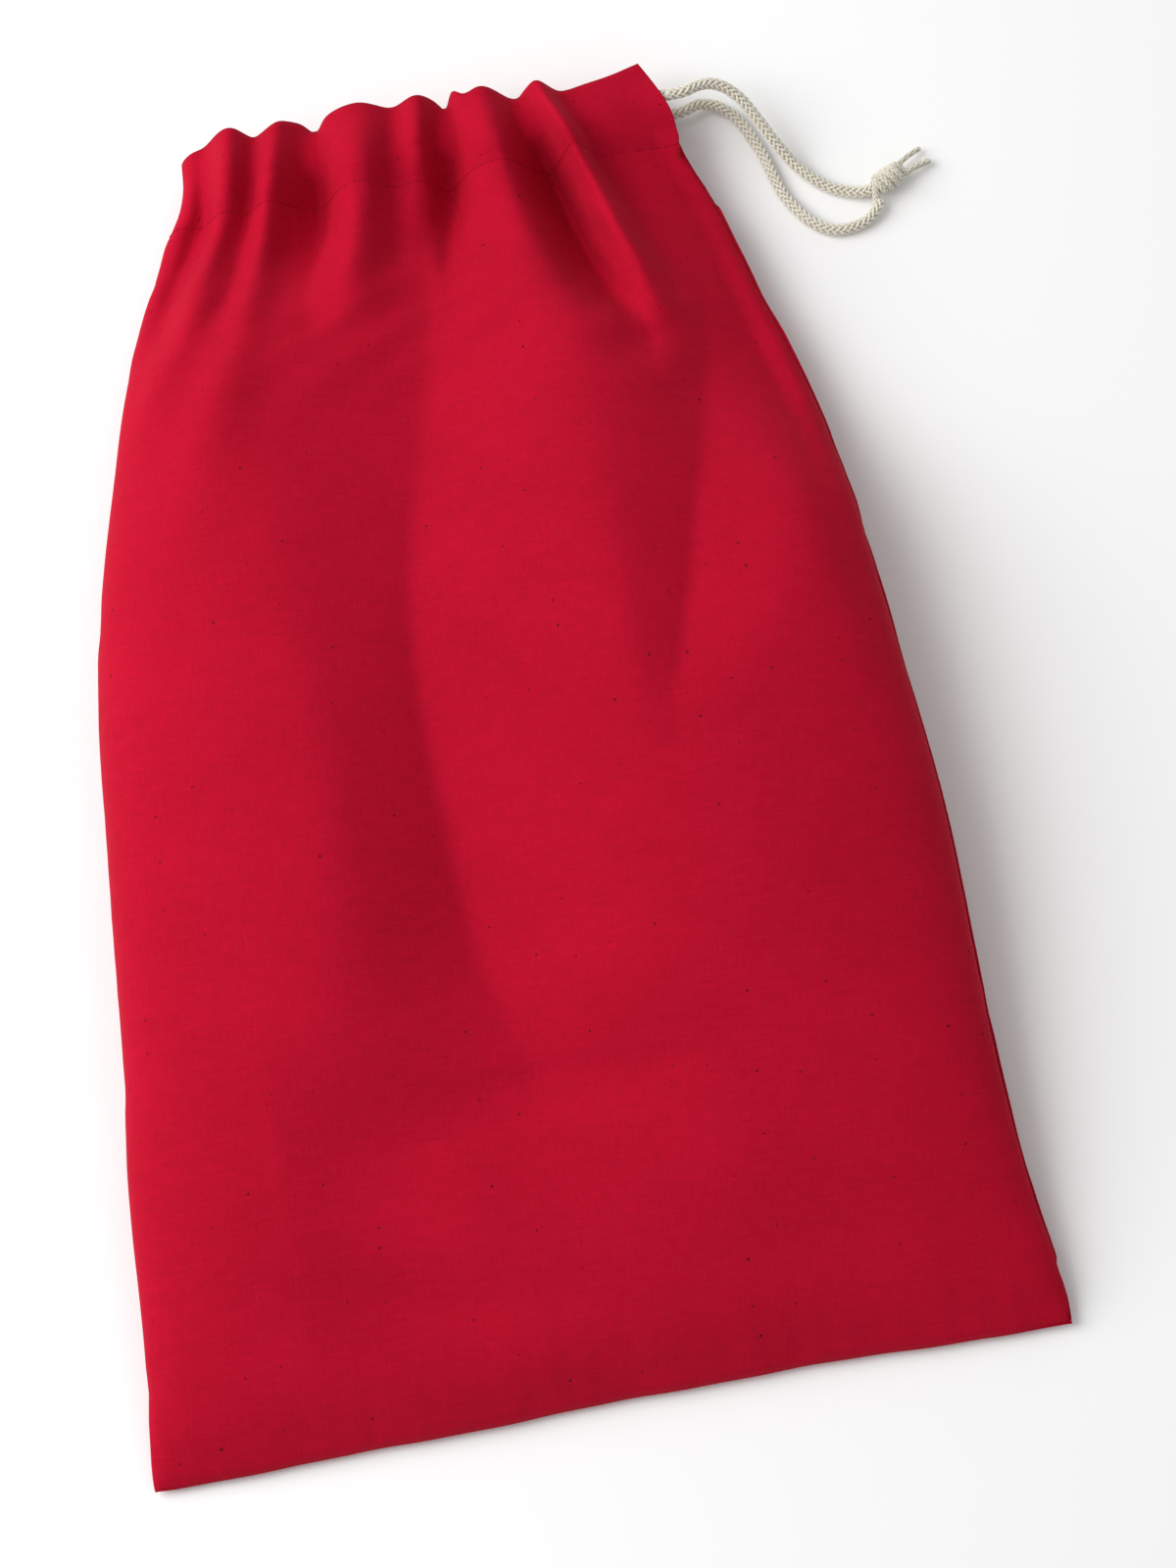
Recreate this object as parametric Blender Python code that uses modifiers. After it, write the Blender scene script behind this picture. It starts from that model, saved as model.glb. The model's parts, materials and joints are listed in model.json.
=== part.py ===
"""Cotton drawstring gift sack, lying on its back on a table.

Frame: metres, +Z up. The origin is the middle of the sack's footprint, on the table.
+X is across the sack, towards the side where the drawcord comes out. +Y runs from the
bottom seam to the mouth. The mouth is half gathered on its cord.
"""

import math

import bpy
from mathutils import Vector

MM = 0.001

# Cut and sewn sizes of the sack
LENGTH = 440 * MM               # bottom seam to mouth, as the full sack lies
CLOTH = 1.0 * MM                # wall of a panel
GAP = 0.3 * MM                  # between pieces that touch
PANEL_CELLS = (22, 30)          # across and along

# Casing: the tunnel at the mouth that holds the cord
CASING_DEPTH = 27.7 * MM        # along Y
CASING_MIDDLE = LENGTH / 2 - CASING_DEPTH / 2
CASING_BASE = CASING_MIDDLE - CASING_DEPTH / 2 - GAP
CASING_WALL = 0.8 * MM
CASING_THICKNESS = 8.6 * MM     # of the fixed length of tunnel
SLEEVE_CLEARANCE = 0.35 * MM    # round the far end, where it runs inside the tunnel
BACK_CASING_Z = 4.7 * MM        # middle of the back tunnel
FRONT_CASING_Z = 22.3 * MM      # middle of the front tunnel
CASING_START = -4 * MM          # where the fixed tunnels begin, along X
CASING_EXIT = 93 * MM           # where they end and the cord comes out
FAR_TURN = -55 * MM             # where the far end starts to turn from front to back
SLEEVE_INSERT = 8 * MM          # length of the far end inside the tunnels at rest
EXIT_SLANT = 0.3                # the exit edge leans back towards the mouth

# Drawcord
CORD_RADIUS = 2.0 * MM
CORD_Y = 210 * MM
HINGE_X = 98 * MM               # the free ends swing about this upright line
HINGE_CLEAR = 0.4 * MM          # from that line back to the cord in the casing
TURN_STEPS = 14

# Seams
ALLOWANCE = 7 * MM              # width of the overlocked edges inside the sack
ALLOWANCE_SETBACK = 2.2 * MM
ALLOWANCE_THICKNESS = 0.8 * MM
ALLOWANCE_LIFT = 0.3 * MM       # above the seam line
SIDE_SEAM_ENDS = (26 * MM, 8 * MM)  # from the bottom seam, and from the casing
BOTTOM_SEAM_REACH = 118 * MM    # half the length of the bottom allowance
THREAD_RADIUS = 0.3 * MM
THREAD_PLACE = -0.3             # across an allowance, from -1 at its seam to 1
THREAD_REACH = 0.98             # share of an allowance's length
TACK_SIZE = (1.4 * MM, 3.6 * MM, 6 * MM)

# The sack's outline, from the bottom seam up: (distance along Y, value), in millimetres
LEFT_EDGE = ((0, -149), (60, -143), (160, -134), (260, -125), (330, -109), (380, -92), (412, -77))
RIGHT_EDGE = ((0, 149), (60, 143), (120, 141.5), (190, 140), (260, 134), (330, 124), (412, 98.5))
SEAM_HEIGHT = ((0, 9), (60, 15), (200, 21), (330, 17), (412, 13.5))
FRONT_RISE = ((0, 0), (15, 14), (40, 26), (100, 38), (190, 42), (280, 33), (360, 18), (412, 8.3))
SEAM_APART = 0.7 * MM           # from the seam line to the middle of each panel's edge
SIDE_ROUNDNESS = 0.7            # below 1, the front is fuller towards its sides
BACK_FLAT_SHARE = 0.35          # middle of the back that lies flat on the table
BACK_CURL = 2.2                 # how late the back curls up to the side seams
BOTTOM_LIFT = 45 * MM           # the back leaves the table this far from the bottom seam
NECK_LIFT = 32 * MM             # and this far below the casing

# Routes of the two free ends, chosen by hand: (x, y, z) in millimetres
FRONT_END_ROUTE = (
    (100.2, 210, 22.3), (103.4, 210.5, 22.1), (107, 212, 20.9), (112, 212.8, 19.2), (117.5, 210.8, 17.0),
    (121.8, 206.8, 14.8), (125.6, 201.2, 12.2), (129.4, 194.8, 9.2), (133.3, 188.8, 6.2),
    (137.5, 183.4, 3.8), (142, 178.8, 2.6), (147.2, 174.8, 2.1), (152.4, 172.4, 2.5),
    (156.6, 171.2, 2.9), (159.6, 171.0, 3.4),
)
BACK_END_ROUTE = (
    (100.2, 210, 4.7), (103.2, 210.4, 4.6), (106, 211.5, 4.3), (109, 212.2, 3.9), (114, 211, 3.1),
    (118.5, 207.6, 2.5), (122, 202.4, 2.1), (124.6, 196.4, 2.1), (126.9, 189.8, 2.1),
    (128.8, 182, 2.1), (131, 174.8, 2.1), (134.8, 168.2, 2.1), (139.4, 162.9, 2.1),
    (145, 159.6, 2.1), (151, 159.2, 2.1), (156.6, 160.6, 2.5), (160.4, 163.4, 2.9),
)
KNOT_CENTRE = Vector((166.6, 173.6, 4.7)) * MM
KNOT_ANGLE = math.radians(27)   # of the knot's axis from +X
KNOT_LENGTH = 12 * MM
KNOT_RADIUS = 4.6 * MM
TAIL_LENGTH = 9.5 * MM
TAIL_SPREAD = 2.25 * MM         # of each tail from the knot's axis
TAIL_TURN = math.radians(5)     # between a tail and the knot's axis
TAIL_END_Z = 2.6 * MM

CLOTH_RED = (0.50, 0.012, 0.035, 1)
THREAD_RED = (0.42, 0.010, 0.030, 1)
CORD_CREAM = (0.78, 0.75, 0.66, 1)


def clear_scene():
    for old in list(bpy.data.objects):
        bpy.data.objects.remove(old)


def make_material(name, colour, roughness):
    material = bpy.data.materials.new(name)
    material.use_nodes = True
    shader = material.node_tree.nodes["Principled BSDF"]
    shader.inputs["Base Color"].default_value = colour
    shader.inputs["Roughness"].default_value = roughness
    shader.inputs["Metallic"].default_value = 0
    return material


def smooth(table, distance):
    """Value at a distance along a short table, on a curve that passes through its rows."""
    last = len(table) - 2
    i = next((k for k in range(last) if distance <= table[k + 1][0]), last)

    def slope(k):
        low, high = table[max(k - 1, 0)], table[min(k + 1, len(table) - 1)]
        return (high[1] - low[1]) / (high[0] - low[0])

    (x0, y0), (x1, y1) = table[i], table[i + 1]
    span = x1 - x0
    t = (distance - x0) / span
    return (
        (2 * t**3 - 3 * t**2 + 1) * y0
        + (t**3 - 2 * t**2 + t) * span * slope(i)
        + (3 * t**2 - 2 * t**3) * y1
        + (t**3 - t**2) * span * slope(i + 1)
    )


def at(table, y):
    """The table's value in metres at a place y of the frame."""
    return smooth(table, (y + LENGTH / 2) / MM) * MM


def add_object(name, data, material, parent=None):
    obj = bpy.data.objects.new(name, data)
    SACK.objects.link(obj)
    data.materials.append(material)
    if parent:
        obj.parent = parent
        obj.matrix_parent_inverse = parent.matrix_world.inverted()
    return obj


def thicken(obj, thickness):
    """Gives an open surface its wall, half to each side."""
    wall = obj.modifiers.new("Wall", "SOLIDIFY")
    wall.thickness = thickness
    wall.offset = 0


def cloth_surface(name, cells, place, thickness, material):
    """A grid of cloth: place(u, v) puts each of its points, with u and v from -1 to 1."""
    bpy.ops.mesh.primitive_grid_add(x_subdivisions=cells[0], y_subdivisions=cells[1], size=2)
    made = bpy.context.object
    mesh = made.data
    bpy.data.objects.remove(made)
    for vertex in mesh.vertices:
        vertex.co = place(vertex.co.x, vertex.co.y)
    mesh.name = name
    mesh.shade_smooth()
    obj = add_object(name, mesh, material)
    thicken(obj, thickness)
    return obj


# ---- the sack's skin ----

def across(u, y):
    """X at a share u of the width, from -1 on the left seam to 1 on the right."""
    left, right = at(LEFT_EDGE, y), at(RIGHT_EDGE, y)
    return left + (right - left) * (u + 1) / 2


def panel_y(v):
    bottom = -LENGTH / 2
    return bottom + (CASING_BASE - bottom) * (v + 1) / 2


def front_point(u, v):
    y = panel_y(v)
    crown = max(0.0, 1 - u * u) ** SIDE_ROUNDNESS
    rim = at(SEAM_HEIGHT, y) + SEAM_APART
    return Vector((across(u, y), y, rim + at(FRONT_RISE, y) * crown))


def back_point(u, v):
    y = panel_y(v)
    rim = at(SEAM_HEIGHT, y) - SEAM_APART
    neck = max(0.0, 1 - (CASING_BASE - y) / NECK_LIFT) ** 2
    floor = CLOTH / 2 + (BACK_CASING_Z - CLOTH / 2) * neck
    side = max(0.0, (abs(u) - BACK_FLAT_SHARE) / (1 - BACK_FLAT_SHARE)) ** BACK_CURL
    bottom = max(0.0, 1 - (y + LENGTH / 2) / BOTTOM_LIFT) ** 2
    raised = 1 - (1 - side) * (1 - bottom)
    return Vector((across(u, y), y, floor + (rim - floor) * raised))


def make_panels():
    cloth_surface("front_panel", PANEL_CELLS, front_point, CLOTH, RED)
    cloth_surface("back_panel", PANEL_CELLS, back_point, CLOTH, RED)


# ---- seams: the overlocked edges inside, and the thread that joins the panels ----

def side_strip(side):
    """Places the allowance inside a side seam; side is -1 on the left and 1 on the right."""
    edge = LEFT_EDGE if side < 0 else RIGHT_EDGE
    start = -LENGTH / 2 + SIDE_SEAM_ENDS[0]
    end = CASING_BASE - SIDE_SEAM_ENDS[1]

    def place(u, v):
        y = start + (end - start) * (v + 1) / 2
        inset = ALLOWANCE_SETBACK + ALLOWANCE * (u + 1) / 2
        return Vector((at(edge, y) - side * inset, y, at(SEAM_HEIGHT, y) + ALLOWANCE_LIFT))

    return place


def bottom_strip(u, v):
    y = -LENGTH / 2 + ALLOWANCE_SETBACK + ALLOWANCE * (v + 1) / 2
    return Vector((u * BOTTOM_SEAM_REACH, y, at(SEAM_HEIGHT, y) + ALLOWANCE_LIFT))


def on_strip(place, along_u=False, steps=24):
    """Points of a thread that lies on the middle of an allowance."""
    lift = Vector((0, 0, ALLOWANCE_THICKNESS / 2 + GAP + THREAD_RADIUS))
    shares = [THREAD_REACH * (2 * k / steps - 1) for k in range(steps + 1)]
    if along_u:
        return [place(share, THREAD_PLACE) + lift for share in shares]
    return [place(THREAD_PLACE, share) + lift for share in shares]


def tube(name, points, radius, material, parent=None, resolution=2):
    """A closed round tube along a list of points."""
    curve = bpy.data.curves.new(name, "CURVE")
    curve.dimensions = "3D"
    curve.bevel_depth = radius
    curve.bevel_resolution = resolution
    curve.use_fill_caps = True
    spline = curve.splines.new("POLY")
    spline.points.add(len(points) - 1)
    for slot, point in zip(spline.points, points):
        slot.co = (*point, 1)
    return add_object(name, curve, material, parent)


def make_seams():
    for name, side in (("left", -1), ("right", 1)):
        place = side_strip(side)
        cloth_surface(f"{name}_seam_allowance", (1, 28), place, ALLOWANCE_THICKNESS, RED)
        tube(f"{name}_seam_thread", on_strip(place), THREAD_RADIUS, THREAD, resolution=0)
    cloth_surface("bottom_seam_allowance", (20, 1), bottom_strip, ALLOWANCE_THICKNESS, RED)
    points = on_strip(bottom_strip, along_u=True)
    tube("bottom_seam_thread", points, THREAD_RADIUS, THREAD, resolution=0)


# ---- casing ----

def flat_loop(depth, thickness, corner_steps=4):
    """A closed outline with round ends, thickness across X and depth across Y."""
    radius = thickness / 2
    straight = depth / 2 - radius
    points = []
    for end in (1, -1):
        for k in range(2 * corner_steps + 1):
            turn = math.pi * k / (2 * corner_steps)
            x = radius * math.cos(turn)
            y = straight + radius * math.sin(turn)
            points.append((end * x, end * y))
    return points


def outline_curve(name, points, closed):
    """A 2D curve through points, in its own XY plane."""
    curve = bpy.data.curves.new(name, "CURVE")
    curve.dimensions = "2D"
    curve.fill_mode = "NONE"
    spline = curve.splines.new("POLY")
    spline.points.add(len(points) - 1)
    for slot, (x, y) in zip(spline.points, points):
        slot.co = (x, y, 0, 1)
    spline.use_cyclic_u = closed
    return curve


def tunnel(name, path, depth, thickness, parent=None):
    """A hollow flat tunnel whose middle follows path, a list of (x, z)."""
    loop = flat_loop(depth - CASING_WALL, thickness - CASING_WALL)
    profile = bpy.data.objects.new(name + "_profile", outline_curve(name + "_profile", loop, True))
    profile.hide_render = True
    profile.display_type = "WIRE"
    CUTTERS.objects.link(profile)
    curve = outline_curve(name + "_path", path, False)
    curve.bevel_mode = "OBJECT"
    curve.bevel_object = profile
    guide = bpy.data.objects.new(name + "_path", curve)
    CUTTERS.objects.link(guide)
    guide.location.y = CASING_MIDDLE
    guide.rotation_euler.x = math.pi / 2
    bpy.context.view_layer.update()
    graph = bpy.context.evaluated_depsgraph_get()
    mesh = bpy.data.meshes.new_from_object(guide.evaluated_get(graph))
    mesh.transform(guide.matrix_world)
    bpy.data.objects.remove(guide)
    obj = add_object(name, mesh, RED, parent)
    thicken(obj, CASING_WALL)
    return obj


def slant_exit(obj):
    """Leans the exit edge, so that the tunnel is shorter at the mouth than at its base."""
    for vertex in obj.data.vertices:
        if vertex.co.x > CASING_EXIT - MM:
            vertex.co.x -= EXIT_SLANT * (vertex.co.y - CASING_MIDDLE)


def turn_path(start, end):
    """(x, z) down the middle: in along the front, round the far turn, and back along the back."""
    radius = (FRONT_CASING_Z - BACK_CASING_Z) / 2
    centre = (FRONT_CASING_Z + BACK_CASING_Z) / 2
    arc = [math.pi / 2 + math.pi * k / TURN_STEPS for k in range(TURN_STEPS + 1)]
    bend = [(FAR_TURN + radius * math.cos(a), centre + radius * math.sin(a)) for a in arc]
    return [(start, FRONT_CASING_Z)] + bend + [(end, BACK_CASING_Z)]


def make_casing(gather):
    for side, z in (("front", FRONT_CASING_Z), ("back", BACK_CASING_Z)):
        path = [(CASING_START, z), (CASING_EXIT, z)]
        slant_exit(tunnel(f"{side}_casing", path, CASING_DEPTH, CASING_THICKNESS))
    shrink = 2 * (CASING_WALL + SLEEVE_CLEARANCE)
    inner_end = CASING_START + SLEEVE_INSERT
    tunnel(
        "casing_far_end", turn_path(inner_end, inner_end),
        CASING_DEPTH - shrink, CASING_THICKNESS - shrink, gather,
    )
    lift = CASING_THICKNESS / 2 + GAP + THREAD_RADIUS
    row_y = CASING_BASE + CASING_THICKNESS
    for side, z in (("front", FRONT_CASING_Z + lift), ("back", BACK_CASING_Z + lift)):
        ends = [(x, row_y, z) for x in (CASING_START + MM, CASING_EXIT - MM)]
        tube(f"{side}_casing_stitching", ends, THREAD_RADIUS, THREAD, resolution=0)


def make_bartack():
    """The dense stitches that close the top of the right seam, just below the cord's way out."""
    bpy.ops.mesh.primitive_cube_add(size=1)
    tack = bpy.context.object
    mesh = tack.data
    bpy.data.objects.remove(tack)
    y = CASING_BASE - TACK_SIZE[1] / 2 - GAP
    x = at(RIGHT_EDGE, y) + TACK_SIZE[0] / 2 + 3 * GAP
    centre = Vector((x, y, at(SEAM_HEIGHT, y)))
    for vertex in mesh.vertices:
        vertex.co = [middle + share * side for middle, share, side in zip(centre, vertex.co, TACK_SIZE)]
    obj = add_object("exit_bartack", mesh, THREAD)
    round_off = obj.modifiers.new("Round", "BEVEL")
    round_off.width = 0.4 * MM
    round_off.segments = 2


# ---- drawcord ----

def smooth_route(points, steps=2):
    """More points on a smooth curve through a hand-chosen route."""
    knots = [Vector(p) * MM for p in points]
    made = []
    for i in range(len(knots) - 1):
        before, a = knots[max(i - 1, 0)], knots[i]
        b, after = knots[i + 1], knots[min(i + 2, len(knots) - 1)]
        for k in range(steps):
            t = k / steps
            made.append(
                0.5 * (2 * a + (b - before) * t + (2 * before - 5 * a + 4 * b - after) * t**2
                       + (3 * a - before - 3 * b + after) * t**3)
            )
    return made + [knots[-1]]


def make_knot(swing):
    bpy.ops.mesh.primitive_cylinder_add(vertices=20, radius=KNOT_RADIUS, depth=KNOT_LENGTH)
    made = bpy.context.object
    mesh = made.data
    bpy.data.objects.remove(made)
    knot = add_object("cord_knot", mesh, CREAM)
    knot.location = KNOT_CENTRE
    knot.rotation_euler = (0, math.pi / 2, KNOT_ANGLE)
    bpy.context.view_layer.update()
    knot.parent = swing
    knot.matrix_parent_inverse = swing.matrix_world.inverted()
    round_off = knot.modifiers.new("Round", "BEVEL")
    round_off.width = 2.4 * MM
    round_off.segments = 3
    mesh.set_sharp_from_angle(angle=math.radians(50))


def make_drawcord(draw, swing):
    inner_end = HINGE_X - HINGE_CLEAR
    loop = [(x, CORD_Y, z) for x, z in turn_path(inner_end, inner_end)]
    tube("cord_in_casing", loop, CORD_RADIUS, CREAM, draw)
    tube("front_cord_end", smooth_route(FRONT_END_ROUTE), CORD_RADIUS, CREAM, swing)
    tube("back_cord_end", smooth_route(BACK_END_ROUTE), CORD_RADIUS, CREAM, swing)
    make_knot(swing)
    axis = Vector((math.cos(KNOT_ANGLE), math.sin(KNOT_ANGLE), 0))
    sideways = Vector((-axis.y, axis.x, 0))
    for name, side in (("front", 1), ("back", -1)):
        start = KNOT_CENTRE + axis * (KNOT_LENGTH / 2 + GAP) + sideways * side * TAIL_SPREAD
        way = axis * math.cos(TAIL_TURN) + sideways * side * math.sin(TAIL_TURN)
        end = start + way * TAIL_LENGTH
        end.z = TAIL_END_Z
        tube(f"{name}_cord_tail", [start, end], CORD_RADIUS * 0.95, CREAM, swing)


def joint_empty(name, place, parent=None):
    """A marker on a joint's axis, which the moving pieces hang from."""
    empty = bpy.data.objects.new(name, None)
    empty.empty_display_size = 0.02
    SACK.objects.link(empty)
    empty.location = place
    if parent:
        empty.parent = parent
        empty.matrix_parent_inverse = parent.matrix_world.inverted()
    bpy.context.view_layer.update()
    return empty


clear_scene()
SACK = bpy.data.collections.new("gift_sack")
CUTTERS = bpy.data.collections.new("guides")
for collection in (SACK, CUTTERS):
    bpy.context.scene.collection.children.link(collection)
RED = make_material("red_cotton", CLOTH_RED, 0.85)
THREAD = make_material("red_thread", THREAD_RED, 0.6)
CREAM = make_material("natural_cord", CORD_CREAM, 0.8)

middle_z = (FRONT_CASING_Z + BACK_CASING_Z) / 2
draw_axis = joint_empty("cord_draw_axis", (CASING_EXIT, CORD_Y, middle_z))
gather_axis = joint_empty("casing_gather_axis", (FAR_TURN, CORD_Y, middle_z))
swing_axis = joint_empty("cord_swing_axis", (HINGE_X, CORD_Y, middle_z), draw_axis)

make_panels()
make_seams()
make_casing(gather_axis)
make_bartack()
make_drawcord(draw_axis, swing_axis)
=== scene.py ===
import json
from math import cos, pi, radians, sin
import bpy
import numpy as np
from mathutils import Matrix, Vector

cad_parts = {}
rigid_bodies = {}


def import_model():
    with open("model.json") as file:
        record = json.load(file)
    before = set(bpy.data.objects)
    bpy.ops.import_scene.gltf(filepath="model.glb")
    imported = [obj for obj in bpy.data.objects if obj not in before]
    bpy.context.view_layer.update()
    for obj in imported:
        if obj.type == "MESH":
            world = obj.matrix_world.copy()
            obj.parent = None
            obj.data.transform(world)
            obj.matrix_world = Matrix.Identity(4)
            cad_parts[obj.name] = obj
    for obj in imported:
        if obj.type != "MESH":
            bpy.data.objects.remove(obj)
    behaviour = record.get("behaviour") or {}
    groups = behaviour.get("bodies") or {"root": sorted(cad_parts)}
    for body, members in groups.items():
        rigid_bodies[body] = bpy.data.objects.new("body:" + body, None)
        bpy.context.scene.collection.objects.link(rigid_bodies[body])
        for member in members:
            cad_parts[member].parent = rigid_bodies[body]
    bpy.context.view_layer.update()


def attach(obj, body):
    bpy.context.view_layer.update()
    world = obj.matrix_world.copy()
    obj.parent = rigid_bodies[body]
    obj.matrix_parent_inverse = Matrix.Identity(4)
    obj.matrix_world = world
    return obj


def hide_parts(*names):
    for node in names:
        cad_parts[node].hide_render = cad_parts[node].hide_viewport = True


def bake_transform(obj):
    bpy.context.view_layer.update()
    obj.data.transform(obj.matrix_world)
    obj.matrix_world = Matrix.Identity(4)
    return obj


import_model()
mm = 0.001
scene = bpy.context.scene
scene.view_settings.view_transform = "Standard"
for leftover in list(bpy.data.objects):
    if leftover.type in ("LIGHT", "CAMERA"):
        bpy.data.objects.remove(leftover)

# camera, light and table
studio = {
    "lens": 100, "target": (0.0273, -0.0215, 0.02), "distance": 1.42, "tilt": 14, "turn": 10.3,
    "keyPlace": (-1.25, 0.2, 1.12), "keySize": 1.5, "keyPower": 32.5,
    "skyColour": (1, 1, 1), "skyStrength": 0.5, "tableSize": 6, "tableColour": (0.95, 0.95, 0.95),
    "tableRoughness": 0.9,
}


def linked(name, data):
    made = bpy.data.objects.new(name, data)
    scene.collection.objects.link(made)
    return made


def makeStudio():
    tilt, turn = radians(studio["tilt"]), radians(studio["turn"])
    ahead = Vector((sin(turn), cos(turn), 0))
    back = -sin(tilt) * ahead + cos(tilt) * Vector((0, 0, 1))
    right = Vector((cos(turn), -sin(turn), 0))
    up = back.cross(right)
    camera = linked("camera", bpy.data.cameras.new("camera"))
    camera.data.lens = studio["lens"]
    place = Vector(studio["target"]) + studio["distance"] * back
    camera.matrix_world = Matrix.Translation(place) @ Matrix((right, up, back)).transposed().to_4x4()
    scene.camera = camera
    key = linked("keyLight", bpy.data.lights.new("keyLight", "AREA"))
    key.data.size = studio["keySize"]
    key.data.energy = studio["keyPower"]
    across, along, height = studio["keyPlace"]
    key.location = right * across + up * along + Vector((0, 0, height))
    key.rotation_euler = (-key.location).to_track_quat("-Z", "Y").to_euler()
    sky = bpy.data.worlds.new("softSky")
    scene.world = sky
    sky.use_nodes = True
    light = sky.node_tree.nodes["Background"]
    light.inputs["Color"].default_value = (*studio["skyColour"], 1)
    light.inputs["Strength"].default_value = studio["skyStrength"]
    half = studio["tableSize"] / 2
    sheet = bpy.data.meshes.new("table")
    corners = [(-half, -half, 0), (half, -half, 0), (half, half, 0), (-half, half, 0)]
    sheet.from_pydata(corners, [], [(0, 1, 2, 3)])
    table = linked("table", sheet)
    paint = bpy.data.materials.new("paleTable")
    paint.use_nodes = True
    surface = paint.node_tree.nodes["Principled BSDF"]
    surface.inputs["Base Color"].default_value = (*studio["tableColour"], 1)
    surface.inputs["Roughness"].default_value = studio["tableRoughness"]
    sheet.materials.append(paint)


makeStudio()
print("studio ready")


# small helpers for node trees
def add(tree, kind, inputs=None, **settings):
    made = tree.nodes.new(kind)
    for name, value in settings.items():
        setattr(made, name, value)
    for place, value in (inputs or {}).items():
        if isinstance(value, bpy.types.NodeSocket):
            tree.links.new(value, made.inputs[place])
        else:
            made.inputs[place].default_value = value
    return made


def maths(tree, operation, first, second=0.0, third=None):
    inputs = {0: first, 1: second}
    if third is not None:
        inputs[2] = third
    return add(tree, "ShaderNodeMath", inputs, operation=operation).outputs[0]


def vectors(tree, operation, first, second=None, third=None, scale=None):
    given = {0: first, 1: second, 2: third, "Scale": scale}
    inputs = {place: value for place, value in given.items() if value is not None}
    return add(tree, "ShaderNodeVectorMath", inputs, operation=operation).outputs[0]


def newTree(name, kind, ins, outs):
    tree = bpy.data.node_groups.new(name, kind)
    for label, socket, value in ins:
        made = tree.interface.new_socket(label, in_out="INPUT", socket_type="NodeSocket" + socket)
        if value is not None:
            made.default_value = value
    for label, socket in outs:
        tree.interface.new_socket(label, in_out="OUTPUT", socket_type="NodeSocket" + socket)
    return tree, tree.nodes.new("NodeGroupInput"), tree.nodes.new("NodeGroupOutput")


# effects shared by the cotton, the cord and the thread
def makeYarnNoise():
    # fine fuzz, and a shade that mixes it with broad patches
    tree, given, out = newTree(
        "yarnNoise", "ShaderNodeTree",
        (("Place", "Vector", None), ("Fine", "Float", 900.0), ("Broad", "Float", 40.0)),
        (("Shade", "Float"), ("Fuzz", "Float")))
    get = given.outputs
    fine = add(tree, "ShaderNodeTexNoise",
               {"Vector": get["Place"], "Scale": get["Fine"], "Detail": 3.0, "Roughness": 0.6}).outputs["Fac"]
    broad = add(tree, "ShaderNodeTexNoise",
                {"Vector": get["Place"], "Scale": get["Broad"], "Detail": 2.0}).outputs["Fac"]
    mixed = maths(tree, "MULTIPLY_ADD", fine, 0.4, maths(tree, "MULTIPLY", broad, 0.6))
    tree.links.new(mixed, out.inputs["Shade"])
    tree.links.new(fine, out.inputs["Fuzz"])
    return tree


def makePlainWeave():
    # threads over and under both ways, and slubs: long thick places in single threads
    tree, given, out = newTree(
        "plainWeave", "ShaderNodeTree",
        (("Cut", "Vector", None), ("Thread pitch", "Float", 0.00042), ("Slub length", "Float", 0.007)),
        (("Height", "Float"), ("Slubs", "Float")))
    parts = add(tree, "ShaderNodeSeparateXYZ", {0: given.outputs["Cut"]})
    rate = maths(tree, "DIVIDE", pi, given.outputs["Thread pitch"])
    waves = [maths(tree, "SINE", maths(tree, "MULTIPLY", parts.outputs[k], rate)) for k in (0, 1)]
    over = maths(tree, "MULTIPLY", waves[0], waves[1])
    thin = maths(tree, "DIVIDE", 0.7, given.outputs["Thread pitch"])
    long = maths(tree, "DIVIDE", 1.0, given.outputs["Slub length"])
    slubs = []
    for k in (0, 1):
        across = maths(tree, "MULTIPLY", parts.outputs[k], thin)
        along = maths(tree, "MULTIPLY", parts.outputs[1 - k], long)
        place = add(tree, "ShaderNodeCombineXYZ", {0: across, 1: along, 2: 3.7 * k})
        noise = add(tree, "ShaderNodeTexNoise",
                    {"Vector": place.outputs[0], "Scale": 1.0, "Detail": 2.0, "Roughness": 0.6})
        slubs.append(noise.outputs["Fac"])
    both = maths(tree, "MULTIPLY", maths(tree, "ADD", slubs[0], slubs[1]), 0.5)
    height = maths(tree, "MULTIPLY_ADD", over, 0.25, both)
    tree.links.new(height, out.inputs["Height"])
    tree.links.new(both, out.inputs["Slubs"])
    return tree


yarnNoise = makeYarnNoise()
plainWeave = makePlainWeave()


def startMaterial(name):
    material = bpy.data.materials.new(name)
    material.use_nodes = True
    return material, material.node_tree, material.node_tree.nodes["Principled BSDF"]


def mixColours(tree, amount, first, second):
    mix = add(tree, "ShaderNodeMix", {}, data_type="RGBA")
    for place, value in ((0, amount), (6, first), (7, second)):
        if isinstance(value, bpy.types.NodeSocket):
            tree.links.new(value, mix.inputs[place])
        else:
            mix.inputs[place].default_value = value
    return mix.outputs[2]


def stretched(tree, value, low, high, lowTo=0.0, highTo=1.0):
    made = add(tree, "ShaderNodeMapRange", {0: value, 1: low, 2: high, 3: lowTo, 4: highTo})
    return made.outputs[0]


def finishMaterial(tree, surface, look, height, unevenness):
    bump = add(tree, "ShaderNodeBump",
               {"Strength": look["bump"], "Distance": look["bumpDepth"], "Height": height})
    tree.links.new(bump.outputs[0], surface.inputs["Normal"])
    low, high = look["roughness"] - look["roughnessSwing"], look["roughness"] + look["roughnessSwing"]
    tree.links.new(stretched(tree, unevenness, 0.2, 0.8, low, high), surface.inputs["Roughness"])
    surface.inputs["Specular IOR Level"].default_value = look["specular"]
    surface.inputs["Sheen Weight"].default_value = look["sheen"]


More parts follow.
